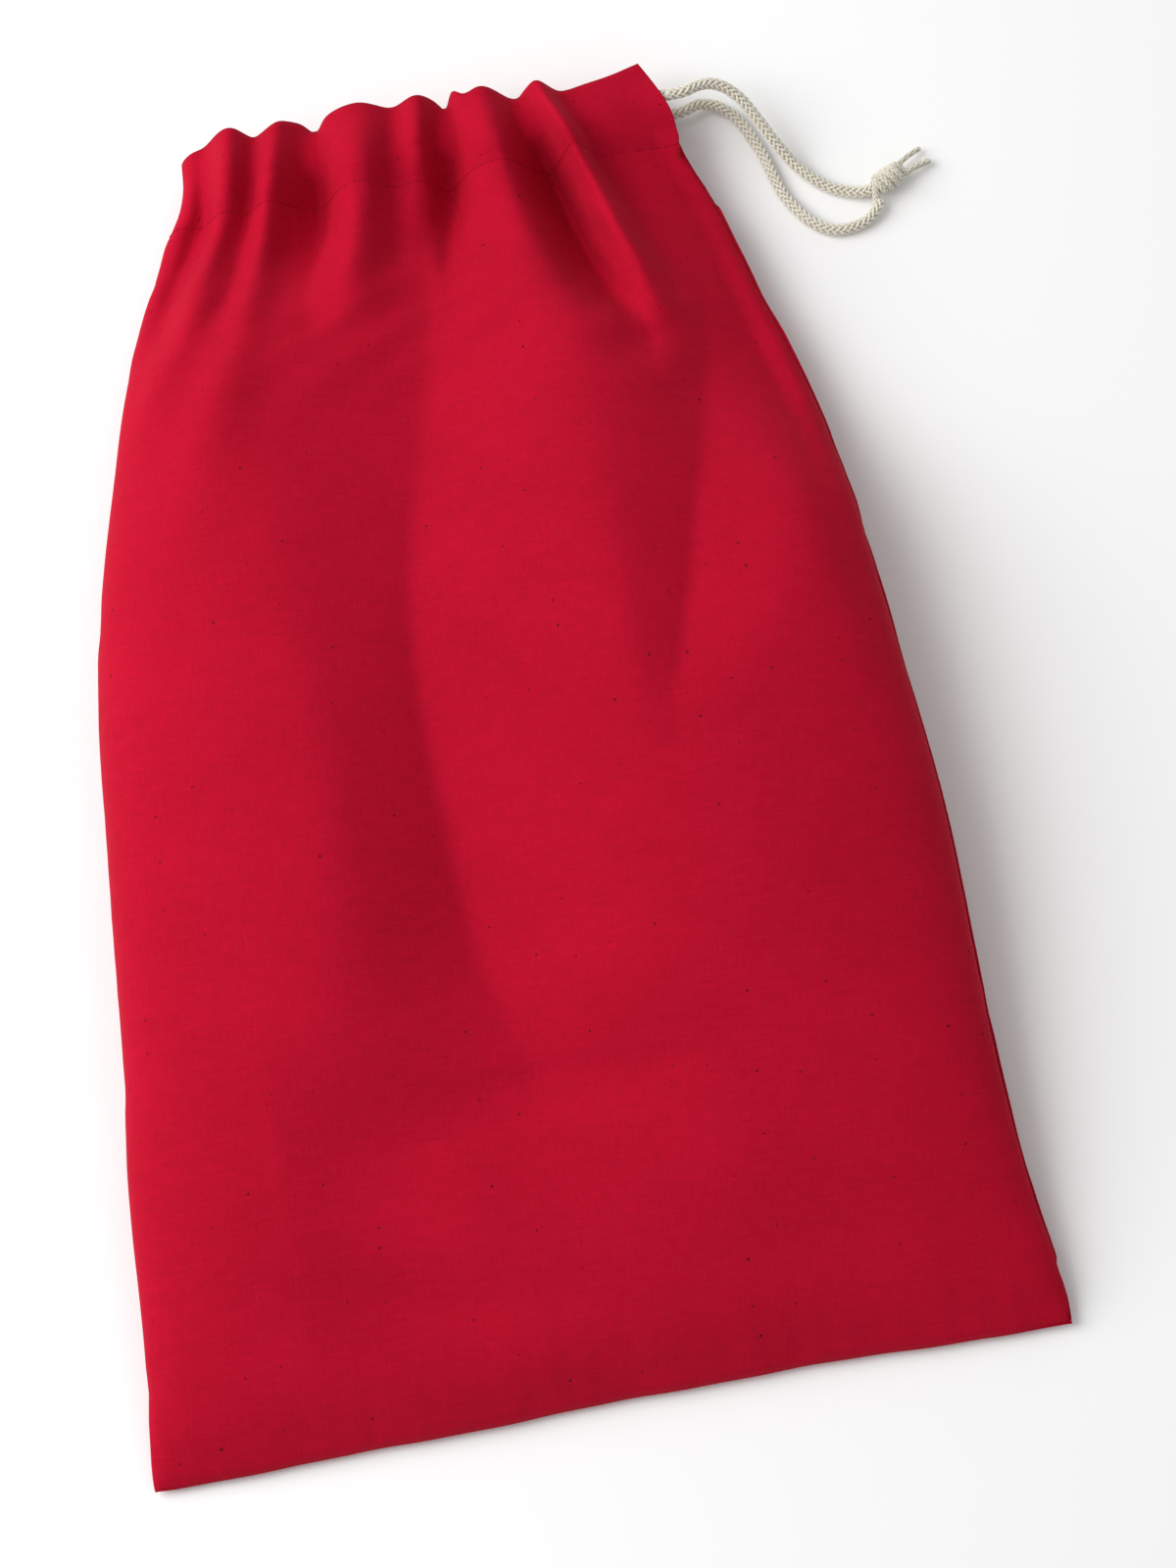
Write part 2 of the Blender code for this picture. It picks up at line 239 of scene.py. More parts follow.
redCottonLook = {
    "deep": (0.37, 0.0022, 0.0165, 1), "bright": (0.49, 0.0034, 0.026, 1), "fleck": (0.05, 0.004, 0.006, 1),
    "threadPitch": 0.00042, "fine": 1400.0, "broad": 22.0, "slubShare": 1.2, "yarnShare": 0.7,
    "fleckCell": 0.0125, "fleckRadius": 0.038, "fleckMissing": 0.45, "fleckRagged": 0.0006,
    "roughness": 0.9, "roughnessSwing": 0.06, "specular": 0.08,
    "sheen": 0.03, "sheenRoughness": 0.5, "sheenTint": (0.9, 0.25, 0.3, 1),
    "bump": 0.35, "bumpDepth": 0.00012,
}


def makeRedCotton(name, look, cutMap):
    # the pattern lies in the flat cut of the cloth, whose map is in metres
    material, tree, surface = startMaterial(name)
    cut = add(tree, "ShaderNodeUVMap", uv_map=cutMap).outputs["UV"]
    weave = add(tree, "ShaderNodeGroup", node_tree=plainWeave)
    tree.links.new(cut, weave.inputs["Cut"])
    weave.inputs["Thread pitch"].default_value = look["threadPitch"]
    yarn = add(tree, "ShaderNodeGroup", node_tree=yarnNoise)
    tree.links.new(cut, yarn.inputs["Place"])
    yarn.inputs["Fine"].default_value = look["fine"]
    yarn.inputs["Broad"].default_value = look["broad"]
    yarnShade = maths(tree, "MULTIPLY", yarn.outputs["Shade"], look["yarnShare"])
    shade = maths(tree, "MULTIPLY_ADD", weave.outputs["Slubs"], look["slubShare"], yarnShade)
    colour = mixColours(tree, stretched(tree, shade, 0.70, 1.20), look["deep"], look["bright"])
    warp = add(tree, "ShaderNodeTexNoise", {"Vector": cut, "Scale": 600.0})
    ragged = (look["fleckRagged"], look["fleckRagged"], 0)
    moved = vectors(tree, "MULTIPLY_ADD", warp.outputs["Color"], ragged, third=cut)
    cells = add(tree, "ShaderNodeTexVoronoi", {"Vector": moved, "Scale": 1 / look["fleckCell"]},
                voronoi_dimensions="2D")
    kept = add(tree, "ShaderNodeSeparateColor", {0: cells.outputs["Color"]})
    size = maths(tree, "SUBTRACT", kept.outputs[0], look["fleckMissing"])
    radius = maths(tree, "MULTIPLY", size, 2.0 * look["fleckRadius"])
    inside = maths(tree, "LESS_THAN", cells.outputs["Distance"], radius)
    strength = maths(tree, "MULTIPLY", inside, stretched(tree, kept.outputs[1], 0.0, 1.0, 0.3, 0.9))
    colour = mixColours(tree, strength, colour, look["fleck"])
    tree.links.new(colour, surface.inputs["Base Color"])
    height = maths(tree, "MULTIPLY_ADD", yarn.outputs["Fuzz"], 0.5, weave.outputs["Height"])
    finishMaterial(tree, surface, look, height, weave.outputs["Slubs"])
    surface.inputs["Sheen Roughness"].default_value = look["sheenRoughness"]
    surface.inputs["Sheen Tint"].default_value = look["sheenTint"]
    return material


creamLook = {
    "hollow": (0.47, 0.43, 0.33, 1), "top": (0.84, 0.81, 0.71, 1), "fine": 2600.0, "broad": 120.0,
    "roughness": 0.85, "roughnessSwing": 0.08, "sheen": 0.12, "specular": 0.25,
    "bump": 0.5, "bumpDepth": 0.00015,
}
threadLook = {
    "hollow": (0.27, 0.0016, 0.011, 1), "top": (0.50, 0.004, 0.026, 1), "fine": 3000.0, "broad": 200.0,
    "roughness": 0.6, "roughnessSwing": 0.08, "sheen": 0.0, "specular": 0.12,
    "bump": 0.4, "bumpDepth": 0.00008,
}


def makeYarn(name, look, paintsLiftShade):
    # painted light and shade: braided strands are coloured lighter where they pass over the others and darker
    # in the hollows between them, mixed with the yarn's random tone
    material, tree, surface = startMaterial(name)
    place = add(tree, "ShaderNodeTexCoord").outputs["Object"]
    yarn = add(tree, "ShaderNodeGroup", node_tree=yarnNoise)
    tree.links.new(place, yarn.inputs["Place"])
    yarn.inputs["Fine"].default_value = look["fine"]
    yarn.inputs["Broad"].default_value = look["broad"]
    shade = stretched(tree, yarn.outputs["Shade"], 0.3, 0.7)
    if paintsLiftShade:
        # painted shade: the stored strand lift darkens the colour in the hollows between strands, and the
        # core, marked lowest, gets the darkest painted shade
        lift = add(tree, "ShaderNodeAttribute", attribute_name="strandLift").outputs["Fac"]
        raised = stretched(tree, lift, -1.0, 0.6)
        shade = maths(tree, "MULTIPLY_ADD", raised, 0.65, maths(tree, "MULTIPLY", shade, 0.35))
    colour = mixColours(tree, shade, look["hollow"], look["top"])
    tree.links.new(colour, surface.inputs["Base Color"])
    finishMaterial(tree, surface, look, yarn.outputs["Fuzz"], yarn.outputs["Fuzz"])
    return material


redCotton = makeRedCotton("redCotton", redCottonLook, "cutCloth")
creamCotton = makeYarn("creamCotton", creamLook, True)
redThread = makeYarn("redThread", threadLook, False)
print("materials ready")


# shapes that follow a line
def steppedLine(tree, edges, step):
    line = add(tree, "GeometryNodeMeshToCurve", {"Mesh": edges}).outputs[0]
    return add(tree, "GeometryNodeResampleCurve", {"Curve": line, "Length": step}, mode="LENGTH").outputs[0]


def tubeAlong(tree, line, sides, radius):
    ring = add(tree, "GeometryNodeCurvePrimitiveCircle", {"Resolution": sides, "Radius": radius}).outputs[0]
    shape = {"Curve": line, "Profile Curve": ring, "Fill Caps": True}
    return add(tree, "GeometryNodeCurveToMesh", shape).outputs[0]


# stores how far each strand is lifted; the cord's colour reads it to paint shade in the hollows
def markLift(tree, shape, value):
    marked = {"Geometry": shape, "Name": "strandLift", "Value": value}
    return add(tree, "GeometryNodeStoreNamedAttribute", marked, data_type="FLOAT", domain="POINT").outputs[0]


def makeBraidTree():
    # strands wind both ways round a core and pass over and under each other
    tree, given, out = newTree(
        "braidAlongLine", "GeometryNodeTree",
        (("Geometry", "Geometry", None), ("Step", "Float", 0.0005), ("Core radius", "Float", 0.0013),
         ("Ring radius", "Float", 0.0015), ("Strand radius", "Float", 0.0005), ("Lift", "Float", 0.0002),
         ("Twist", "Float", 490.0), ("Strands each way", "Int", 6), ("Material", "Material", None)),
        (("Geometry", "Geometry"),))
    get = given.outputs
    line = steppedLine(tree, get["Geometry"], get["Step"])
    # the core is marked lowest, so the cord's colour gives it the darkest painted shade
    core = markLift(tree, tubeAlong(tree, line, 10, get["Core radius"]), -1.0)
    both = maths(tree, "MULTIPLY", get["Strands each way"], 2.0)
    copies = add(tree, "GeometryNodeDuplicateElements", {"Geometry": line, "Amount": both}, domain="SPLINE")
    index = copies.outputs["Duplicate Index"]
    parity = maths(tree, "MODULO", index, 2.0)
    way = maths(tree, "MULTIPLY_ADD", parity, -2.0, 1.0)
    number = maths(tree, "FLOOR", maths(tree, "DIVIDE", index, 2.0))
    along = add(tree, "GeometryNodeSplineParameter").outputs["Length"]
    turned = maths(tree, "MULTIPLY", along, get["Twist"])
    spaced = maths(tree, "DIVIDE", maths(tree, "MULTIPLY", number, 2 * pi), get["Strands each way"])
    angle = maths(tree, "ADD", spaced, maths(tree, "MULTIPLY", way, turned))
    rate = maths(tree, "MULTIPLY", maths(tree, "MULTIPLY", turned, 0.5), get["Strands each way"])
    start = maths(tree, "MULTIPLY_ADD", number, pi, pi / 4)
    phase = maths(tree, "ADD", start, maths(tree, "MULTIPLY", way, rate))
    lift = maths(tree, "MULTIPLY", way, maths(tree, "COSINE", phase))
    radius = maths(tree, "ADD", get["Ring radius"], maths(tree, "MULTIPLY", lift, get["Lift"]))
    normal = add(tree, "GeometryNodeInputNormal").outputs[0]
    tangent = add(tree, "GeometryNodeInputTangent").outputs[0]
    sideways = vectors(tree, "CROSS_PRODUCT", tangent, normal)
    away = [vectors(tree, "SCALE", axis, scale=maths(tree, "MULTIPLY", maths(tree, wave, angle), radius))
            for axis, wave in ((normal, "COSINE"), (sideways, "SINE"))]
    marked = markLift(tree, copies.outputs[0], lift)
    offset = vectors(tree, "ADD", *away)
    strands = add(tree, "GeometryNodeSetPosition", {"Geometry": marked, "Offset": offset})
    tubes = tubeAlong(tree, strands.outputs[0], 6, get["Strand radius"])
    joined = add(tree, "GeometryNodeJoinGeometry")
    tree.links.new(core, joined.inputs[0])
    tree.links.new(tubes, joined.inputs[0])
    finishTree(tree, joined.outputs[0], get["Material"], out)
    return tree


def finishTree(tree, shape, material, out):
    smoothed = add(tree, "GeometryNodeSetShadeSmooth", {"Geometry": shape}).outputs[0]
    real = add(tree, "GeometryNodeRealizeInstances", {"Geometry": smoothed}).outputs[0]
    painted = add(tree, "GeometryNodeSetMaterial", {"Geometry": real, "Material": material}).outputs[0]
    tree.links.new(painted, out.inputs["Geometry"])


def makeStitchTree():
    # one rounded stitch at each step along the line
    tree, given, out = newTree(
        "stitchesAlongLine", "GeometryNodeTree",
        (("Geometry", "Geometry", None), ("Pitch", "Float", 0.003), ("Length", "Float", 0.0024),
         ("Radius", "Float", 0.0003), ("Material", "Material", None)),
        (("Geometry", "Geometry"),))
    get = given.outputs
    line = steppedLine(tree, get["Geometry"], get["Pitch"])
    points = add(tree, "GeometryNodeCurveToPoints", {"Curve": line}, mode="EVALUATED")
    bead = add(tree, "GeometryNodeMeshUVSphere", {"Segments": 8, "Rings": 6, "Radius": 1.0}).outputs[0]
    half = maths(tree, "MULTIPLY", get["Length"], 0.5)
    size = add(tree, "ShaderNodeCombineXYZ", {0: get["Radius"], 1: get["Radius"], 2: half}).outputs[0]
    stitch = add(tree, "GeometryNodeTransform", {"Geometry": bead, "Scale": size}).outputs[0]
    where = {"Points": points.outputs["Points"], "Instance": stitch, "Rotation": points.outputs["Rotation"]}
    placed = add(tree, "GeometryNodeInstanceOnPoints", where).outputs[0]
    finishTree(tree, placed, get["Material"], out)
    return tree


def makeThreadTree():
    # a plain round thread along the line
    tree, given, out = newTree(
        "threadAlongLine", "GeometryNodeTree",
        (("Geometry", "Geometry", None), ("Radius", "Float", 0.0002), ("Sides", "Int", 5),
         ("Material", "Material", None)),
        (("Geometry", "Geometry"),))
    get = given.outputs
    line = add(tree, "GeometryNodeMeshToCurve", {"Mesh": get["Geometry"]}).outputs[0]
    finishTree(tree, tubeAlong(tree, line, get["Sides"], get["Radius"]), get["Material"], out)
    return tree


braidTree = makeBraidTree()
stitchTree = makeStitchTree()
threadTree = makeThreadTree()


def grow(name, lines, tree, values):
    # lines in millimetres become a mesh of edges, and the tree grows the piece along them
    points, edges = [], []
    for line in lines:
        first = len(points)
        points += [tuple(float(c) * mm for c in p) for p in line]
        edges += [(first + k, first + k + 1) for k in range(len(line) - 1)]
    mesh = bpy.data.meshes.new(name + "Line")
    mesh.from_pydata(points, edges, [])
    source = linked(name + "Line", mesh)
    modifier = source.modifiers.new("grow", "NODES")
    modifier.node_group = tree
    for item in tree.interface.items_tree:
        if item.in_out == "INPUT" and item.name in values:
            modifier[item.identifier] = values[item.name]
    graph = bpy.context.evaluated_depsgraph_get()
    grown = bpy.data.meshes.new_from_object(source.evaluated_get(graph))
    source.modifiers.remove(modifier)
    bpy.data.objects.remove(source)
    grown.name = name
    return linked(name, grown)


def throughPoints(points, step=1.0):
    # a smooth line through the points, with even steps
    p = np.array(points, float)
    p = np.vstack([2 * p[0] - p[1], p, 2 * p[-1] - p[-2]])
    fine = []
    for k in range(1, len(p) - 2):
        t = np.linspace(0, 1, 12, endpoint=False)[:, None]
        fine.append(0.5 * (2 * p[k] + (p[k + 1] - p[k - 1]) * t
                           + (2 * p[k - 1] - 5 * p[k] + 4 * p[k + 1] - p[k + 2]) * t ** 2
                           + (3 * p[k] - p[k - 1] - 3 * p[k + 1] + p[k + 2]) * t ** 3))
    fine = np.vstack(fine + [p[-2:-1]])
    s = np.concatenate([[0], np.cumsum(np.linalg.norm(np.diff(fine, axis=0), axis=1))])
    at = np.linspace(0, s[-1], max(2, round(s[-1] / step) + 1))
    return np.stack([np.interp(at, s, fine[:, k]) for k in range(3)], 1)


def lineLength(line):
    return float(np.linalg.norm(np.diff(np.array(line), axis=0), axis=1).sum())


# drawcord: both free ends first, then the knot, its tails and the length in the casing
drawcord = {
    "diameter": 4.0, "exitX": 97.6, "height": 210, "frontZ": 22.3, "backZ": 4.7, "turnX": -55,
    "braid": {"Step": 0.45 * mm, "Core radius": 1.3 * mm, "Ring radius": 1.42 * mm,
              "Strand radius": 0.47 * mm, "Lift": 0.26 * mm, "Twist": 470.0, "Strands each way": 6},
    "hiddenStep": 0.8 * mm,
    # places along each free end, from inside the way out to inside the knot
    "frontRoute": (
        (96.2, 210, 22.3), (98.2, 210, 22.3), (100.2, 210, 22.3), (103.4, 210.5, 22.1),
        (107, 212, 20.9), (112, 212.8, 19.2), (117.5, 210.8, 17.0), (121.8, 206.8, 14.8),
        (125.6, 201.2, 12.2), (129.4, 194.8, 9.2), (133.3, 188.8, 6.2), (137.5, 183.4, 3.8),
        (142, 178.8, 2.6), (147.2, 174.8, 2.2), (152.4, 172.4, 2.5),
        (156.6, 171.2, 2.9), (159.6, 171.0, 3.4), (161.6, 171.6, 4.2)),
    "backRoute": (
        (96.2, 210, 4.7), (98.2, 210, 4.7), (100.2, 210, 4.7), (103.2, 210.4, 4.6), (106, 211.5, 4.3),
        (109, 212.2, 3.9), (114, 211, 3.1), (118.5, 207.6, 2.5), (122, 202.4, 2.2), (124.6, 196.4, 2.2),
        (126.9, 189.8, 2.2), (128.8, 182, 2.2), (131, 174.8, 2.2), (134.8, 168.2, 2.2), (139.4, 162.9, 2.2),
        (145, 159.6, 2.2), (151, 159.2, 2.2), (156.6, 160.6, 2.4), (160.4, 163.4, 2.9), (162.8, 166.6, 3.6)),
}
knot = {
    "centre": (166.6, 173.6, 4.7), "angle": 27, "wraps": 1.9, "reach": 4.6, "wrapRadius": 3.05,
    "braid": {"Step": 0.4 * mm, "Core radius": 0.75 * mm, "Ring radius": 0.84 * mm,
              "Strand radius": 0.31 * mm, "Lift": 0.14 * mm, "Twist": 640.0, "Strands each way": 6},
    "tailLength": 9.5, "tailSpread": 2.25, "tailEnd": 2.4,
    "frontTail": {"Step": 0.4 * mm, "Core radius": 0.55 * mm, "Ring radius": 0.62 * mm,
                  "Strand radius": 0.3 * mm, "Lift": 0.08 * mm, "Twist": 500.0, "Strands each way": 4},
    "backTail": {"Step": 0.4 * mm, "Core radius": 0.75 * mm, "Ring radius": 0.85 * mm,
                 "Strand radius": 0.36 * mm, "Lift": 0.1 * mm, "Twist": 500.0, "Strands each way": 5},
    "frayThreads": 26, "frayLength": 2.2, "fraySeed": 4, "fray": {"Radius": 0.11 * mm, "Sides": 4},
}


def makeFreeEnd(name, route):
    line = throughPoints(route, 1.0)
    piece = grow(name, [line], braidTree, {**drawcord["braid"], "Material": creamCotton})
    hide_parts("front_cord_end" if name.startswith("front") else "back_cord_end")
    return piece, line


def inKnot(a, s, z):
    # along the knot's axis, sideways and up, to a place in the frame
    turn = radians(knot["angle"])
    x, y, height = knot["centre"]
    return (x + a * cos(turn) - s * sin(turn), y + a * sin(turn) + s * cos(turn), height + z)


def makeKnot():
    # both ends wind round each other and leave as the tails, over a short core
    lines = []
    for way, start in ((0.0, (-7.0, 0.7, -1.2)), (pi, (-8.6, -5.2, -1.4))):
        line = [start]
        for k in range(41):
            t = k / 40
            angle = -1.9 + way + 2 * pi * knot["wraps"] * t
            swell = knot["wrapRadius"] * (0.8 + 0.2 * sin(pi * t) ** 0.5)
            line.append((-knot["reach"] + 2 * knot["reach"] * t, swell * cos(angle), swell * sin(angle)))
        side = 1 if way == 0.0 else -1
        line.append((6.6, side * knot["tailSpread"] * 0.8, -0.4))
        lines.append(throughPoints([inKnot(*p) for p in line], 0.6))
    lines.append(throughPoints([inKnot(-5.2, 0, 0), inKnot(0, 0, 0), inKnot(5.6, 0, 0)], 1.0))
    piece = grow("cordKnot", lines, braidTree, {**knot["braid"], "Material": creamCotton})
    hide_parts("cord_knot")
    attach(piece, "cord_ends")
    return piece


def makeTail(name, side, braid):
    turn = radians(5) * side
    start = (5.4, side * knot["tailSpread"] * 0.8, -0.3)
    reach = knot["tailLength"] + 0.9
    end = (start[0] + reach * cos(turn), start[1] + reach * sin(turn), knot["tailEnd"] - knot["centre"][2])
    middle = tuple((a + b) / 2 + c for a, b, c in zip(start, end, (0, 0.25, 0.35)))
    line = throughPoints([inKnot(*start), inKnot(*middle), inKnot(*end)], 0.8)
    piece = grow(name, [line], braidTree, {**braid, "Material": creamCotton})
    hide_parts("front_cord_tail" if side > 0 else "back_cord_tail")
    rng = np.random.default_rng(knot["fraySeed"] + side)
    threads = []
    aim = (line[-1] - line[-3]) / np.linalg.norm(line[-1] - line[-3])
    reachOut = braid["Ring radius"] / mm
    for _ in range(knot["frayThreads"]):
        away = rng.normal(0, 1, 3)
        away -= aim * float(away @ aim)
        away /= np.linalg.norm(away)
        near = line[-1] - aim * 1.2 + away * reachOut * float(rng.uniform(0.1, 0.95))
        length = knot["frayLength"] * float(rng.uniform(0.55, 1.0))
        bend = rng.normal(0, 0.12, 3)
        points = [near + aim * length * t + away * 0.35 * t * t + bend * t * t
                  for t in (0, 0.35, 0.7, 1)]
        threads.append([(p[0], p[1], max(p[2], 0.25)) for p in points])
    fray = grow(name + "Fray", threads, threadTree, {**knot["fray"], "Material": creamCotton})
    for made in (piece, fray):
        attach(made, "cord_ends")
    return [piece, fray]


def makeCasingCord():
    middle = (drawcord["frontZ"] + drawcord["backZ"]) / 2
    radius = (drawcord["frontZ"] - drawcord["backZ"]) / 2
    height, turnX = drawcord["height"], drawcord["turnX"]
    line = [(x, height, drawcord["frontZ"]) for x in np.arange(drawcord["exitX"], turnX, -2.0)]
    for angle in np.linspace(0, pi, 22):
        line.append((turnX - radius * sin(angle), height, middle + radius * cos(angle)))
    line += [(x, height, drawcord["backZ"]) for x in np.arange(turnX + 2, drawcord["exitX"] + 0.1, 2.0)]
    piece = grow("cordInCasing", [throughPoints(line, 1.0)], braidTree,
                 {**drawcord["braid"], "Step": drawcord["hiddenStep"], "Material": creamCotton})
    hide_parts("cord_in_casing")
    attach(piece, "drawcord")


frontFree, frontLine = makeFreeEnd("frontCordEnd", drawcord["frontRoute"])
backFree, backLine = makeFreeEnd("backCordEnd", drawcord["backRoute"])
knotPieces = [makeKnot()]
knotPieces += makeTail("frontCordTail", 1, knot["frontTail"])
knotPieces += makeTail("backCordTail", -1, knot["backTail"])
makeCasingCord()
for piece, line, going in ((frontFree, frontLine, knotPieces), (backFree, backLine, [])):
    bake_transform(piece)
    print("cord end", piece.name, round(lineLength(line), 1), "mm long")


# the cloth: both panels, laid as the full sack lies
cloth = {
    "columns": 150, "rows": 208, "thickness": 0.5, "bottom": -220, "mouth": 220,
    # distance up from the bottom seam, then the value there, in millimetres
    "left": ((0, -149), (36, -145), (98, -141), (130, -137), (194, -131.5), (260, -125), (293, -118.6),
             (326, -110), (359, -101), (376, -95), (392, -87.5), (408, -80), (420, -73.5), (430, -70.6),
             (440, -69.6)),
    "right": ((0, 149), (14, 148.4), (47, 144.2), (80, 142), (180, 140.6), (213, 138), (248, 135),
              (283, 132), (319, 126), (338, 121.5), (356, 116.7), (375, 111.8), (394, 106.5),
              (404, 101.5), (411, 98.6), (421, 97.2), (430, 93.2), (440, 88.8)),
    "seamHeight": ((0, 4), (60, 11), (200, 18), (330, 16), (400, 13.5), (440, 13.5)),
    "rise": ((0, 0), (10, 8), (40, 19), (100, 30.5), (190, 41), (260, 45.5), (330, 39.5), (370, 29),
             (400, 18), (440, 13)),
    "roundness": 0.27, "neckRoundness": 0.42, "rightSeamInset": 0.7, "seamGroove": 0.8,
    "flatWidth": 300, "flatLength": 450, "cutsApart": 320, "lowest": 0.45,
    # distance across, then how far the mouth's edge stands above or below its mean
    "mouthLine": ((-70, -3), (-62, -0.5), (-50, 1), (-43, -1.5), (-33, 1), (-26.5, 0.6), (-23, -2.2),
                  (-19, 0), (-8, 2), (3, 0), (13, 1.4), (19, 0.4), (21.5, -1.8), (24.5, 1.8),
                  (28, -0.6), (34, 0.5), (46, -2.6), (53, -1.2), (60, -3.6), (70, -2.6), (79, -0.6),
                  (87, 2), (91, 3.4)),
    "casingDepth": 27.7, "tunnel": 3.0, "stitchDip": 0.15, "middleZ": 13.5, "turnRadius": 8.8,
    "cordRoom": 2.8, "cordReach": 8.5, "backTurnRadius": 11.6, "backLevel": 0.9, "samples": 900,
}
# each fold: points (x, y, height, reach to the left, reach to the right), in millimetres; a soft one is
# round, a crease is sharper at its line, a ramp has straight walls, and across is a ramp that runs along x
gatherFolds = (
    ("soft", (-61, 220, -5, 4, 4), (-66, 192, -6, 5, 5), (-86, 160, -4, 8, 8)),
    ("soft", (-51, 220, 5, 6, 5), (-56, 200, 6, 7, 6), (-73, 158, 6, 9, 8), (-92, 126, 3, 10, 10)),
    ("crease", (-44, 220, -7, 6, 3), (-47, 202, -9, 7, 4), (-56, 176, -8, 9, 6), (-66, 148, -3, 10, 9)),
    ("soft", (-35, 220, 5, 5, 5), (-42, 196, 6, 6, 6), (-54, 162, 6, 9, 9), (-70, 123, 5, 12, 11),
     (-83, 91, 2, 14, 14)),
    ("crease", (-23, 220, -13, 9, 3), (-25, 195, -16, 12, 5), (-29, 176, -14, 17, 7), (-37, 152, -5, 18, 12)),
    ("soft", (-8, 220, 5, 9, 8), (-12, 190, 6, 10, 9), (-20, 160, 4, 10, 10)),
    ("soft", (4, 220, -3, 4, 4), (1, 196, -4, 6, 5), (-2, 180, -3, 8, 6), (-4, 160, -1, 10, 8)),
    ("soft", (13, 220, 6, 5, 4), (10, 193, 7, 7, 4), (9, 172, 4, 8, 6)),
    ("crease", (22, 220, -12, 7, 2.5), (20, 196, -15, 12, 5), (17, 177, -12, 15, 7), (13, 158, -3, 14, 10)),
    ("soft", (34, 220, 6, 8, 8), (39, 188, 8, 10, 9), (46, 158, 7, 13, 11), (50, 132, 4, 18, 16)),
    ("crease", (46, 220, -12, 7, 2.5), (55, 186, -19, 15, 4), (66, 150, -18, 20, 5), (74, 126, -7, 20, 9)),
    ("soft", (53, 220, 7, 3, 4), (63, 185, 10, 3, 6), (71, 148, 9, 4, 8), (78, 122, 3, 7, 10)),
    ("crease", (61, 220, -4, 4, 8), (68, 198, -5, 4, 10), (76, 173, -4, 5, 12), (84, 146, -2, 8, 12)),
)
broadFolds = (
    ("ramp", (9, 187, -5, 16, 20), (4, 145, -15, 44, 50), (-4, 110, -21, 58, 66), (-14, 67, -22, 48, 72),
     (-21, 18, -20, 34, 76), (-20, -37, -21, 35, 76), (-16, -80, -19, 45, 66), (-8, -112, -9, 60, 50)),
    ("ramp", (96, 135, -4, 28, 26), (91, 112, -10, 36, 34), (80, 63, -13, 30, 36), (67, 18, -9, 17, 30),
     (58, -10, -2, 10, 22)),
    ("ramp", (104, 202, -5, 36, 5), (112, 168, -5, 40, 6), (121, 130, -6, 36, 6), (129, 92, -8, 28, 7),
     (135, 50, -6, 20, 8), (138, 0, -2, 14, 8)),
    ("across", (-92, -118, -2, 50, 26), (-71, -128, -8, 60, 34), (-30, -131, -11, 60, 38),
     (15, -126, -9, 60, 36), (50, -116, -4, 50, 30), (90, -104, -1, 40, 26)),
    ("across", (-100, -166, -1, 24, 14), (-72, -174, -4.5, 24, 15), (-45, -182, -4.5, 24, 15),
     (-20, -188, -1, 20, 14)),
)
casingFrom = 192
stitchLevel = cloth["mouth"] - cloth["casingDepth"]


def curveOf(table, at):
    # a smooth curve through a table's points
    xs = np.array([p[0] for p in table], float)
    ys = np.array([p[1] for p in table], float)
    at = np.clip(at, xs[0], xs[-1])
    slopes = np.gradient(ys, xs)
    k = np.clip(np.searchsorted(xs, at, side="right") - 1, 0, len(xs) - 2)
    step = xs[k + 1] - xs[k]
    t = (at - xs[k]) / step
    return ((2 * t ** 3 - 3 * t ** 2 + 1) * ys[k] + (t ** 3 - 2 * t ** 2 + t) * step * slopes[k]
            + (3 * t ** 2 - 2 * t ** 3) * ys[k + 1] + (t ** 3 - t ** 2) * step * slopes[k + 1])


def eased(value, low, high):
    t = np.clip((value - low) / (high - low), 0, 1)
    return t * t * (3 - 2 * t)


def foldHeights(folds, x, y):
    total = np.zeros_like(x)
    for kind, *points in folds:
        along, side = (x, y) if kind == "across" else (y, x)
        rows = sorted(points) if kind == "across" else sorted((p[1], p[0], *p[2:]) for p in points)
        middle, height, toLow, toHigh = (curveOf([(r[0], r[k]) for r in rows], along) for k in range(1, 5))
        share = eased(along, rows[0][0] - 24, rows[0][0]) * (1 - eased(along, rows[-1][0], rows[-1][0] + 24))
        away = side - middle
        near = np.abs(away) / np.where(away < 0, toLow, toHigh)
        if kind == "crease":
            profile = 1 / (1 + 1.1 * near ** 1.4 + 0.9 * near ** 4)
        elif kind in ("ramp", "across"):
            profile = 0.14 * np.logaddexp(0, (1 - np.sqrt(near ** 2 + 0.004)) / 0.14)
        else:
            profile = np.exp(-near ** 2)
        total += height * share * profile
    return total


def tunnelOpen(y):
    # how far the casing is open round its cord: closed at the fold and at the stitches
    down = cloth["mouth"] - y
    return cloth["tunnel"] * np.clip(np.sin(pi * np.clip(down / 28, 0, 1)), 0, 1) ** 1.2


